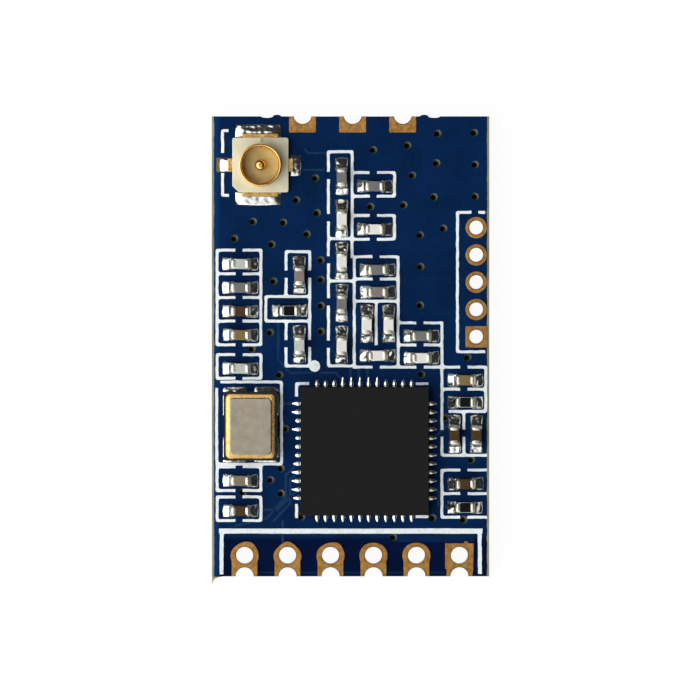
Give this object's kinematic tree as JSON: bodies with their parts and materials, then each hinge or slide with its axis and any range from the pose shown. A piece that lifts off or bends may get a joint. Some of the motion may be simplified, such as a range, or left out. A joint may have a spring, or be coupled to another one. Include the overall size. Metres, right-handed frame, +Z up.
{
  "type": "wireless transceiver module",
  "caption": "Miniature radio transceiver board with a square leadless chip, crystal, push-on coaxial antenna socket, plated header holes and castellated edge contacts.",
  "frame": {"origin": "centre of the board's outline, on its underside", "axes": "+Z up from the board towards its parts, +Y along the board towards the antenna end, +X to the right"},
  "size_m": [0.013, 0.0219, 0.0022],
  "materials": {
    "solder_mask_board": "deep blue solder mask over glass-epoxy laminate, semi-gloss",
    "legend_ink": "white printed ink, matte",
    "gold_contact": "thin gold over nickel and copper, satin",
    "socket_gold": "gold-plated copper alloy, bright",
    "socket_insulator": "cream moulded plastic, satin",
    "solder": "reflowed solder, bright",
    "chip_mould": "black moulding compound, fine matte grain",
    "lead_tin": "tin-plated copper, satin",
    "crystal_ceramic": "dark brown alumina ceramic",
    "crystal_seam_gold": "gold-plated frame, satin",
    "crystal_lid_metal": "nickel-plated lid, warm grey satin",
    "quartz": "clear quartz with thin electrodes",
    "end_cap_tin": "tin-plated end cap, satin",
    "inductor_white": "white ceramic",
    "capacitor_grey": "grey ceramic",
    "capacitor_pink": "pinkish grey ceramic",
    "capacitor_brown": "brown ceramic",
    "capacitor_olive": "olive ceramic",
    "capacitor_beige": "beige ceramic",
    "resistor_alumina": "white alumina",
    "resistor_coat": "black overcoat"
  },
  "bodies": {
    "root": {"circuit_board": "solder_mask_board", "silkscreen_legend": "legend_ink", "main_row_contacts": "gold_contact", "side_row_contacts": "gold_contact", "top_edge_contacts": "gold_contact", "transceiver_chip_body": "chip_mould", "transceiver_chip_leads": "lead_tin", "transceiver_chip_heat_pad": "lead_tin", "transceiver_chip_solder": "solder", "crystal_base": "crystal_ceramic", "crystal_quartz_blank": "quartz", "crystal_seam_ring": "crystal_seam_gold", "crystal_lid": "crystal_lid_metal", "crystal_terminals": "crystal_seam_gold", "crystal_solder": "solder", "antenna_socket_shell": "socket_gold", "antenna_socket_contact": "socket_gold", "antenna_socket_insulator": "socket_insulator", "antenna_socket_solder": "solder", "chip_part_end_caps": "end_cap_tin", "chip_part_solder": "solder", "resistor_coats": "resistor_coat", "capacitor_01": "capacitor_grey", "capacitor_02": "capacitor_brown", "capacitor_03": "capacitor_olive", "capacitor_04": "capacitor_beige", "capacitor_05": "capacitor_brown", "capacitor_06": "capacitor_pink", "capacitor_07": "capacitor_grey", "capacitor_08": "capacitor_grey", "capacitor_09": "capacitor_grey", "capacitor_10": "capacitor_grey", "capacitor_11": "capacitor_pink", "capacitor_12": "capacitor_grey", "capacitor_13": "capacitor_olive", "capacitor_14": "capacitor_brown", "capacitor_15": "capacitor_brown", "capacitor_16": "capacitor_brown", "inductor_01": "inductor_white", "inductor_02": "inductor_white", "inductor_03": "inductor_white", "inductor_04": "inductor_white", "inductor_05": "inductor_white", "inductor_06": "inductor_white", "inductor_07": "inductor_white", "inductor_08": "inductor_white", "inductor_09": "inductor_white", "inductor_10": "inductor_white", "inductor_11": "inductor_white", "resistor_01": "resistor_alumina", "resistor_02": "resistor_alumina", "resistor_03": "resistor_alumina"}
  },
  "joints": []
}
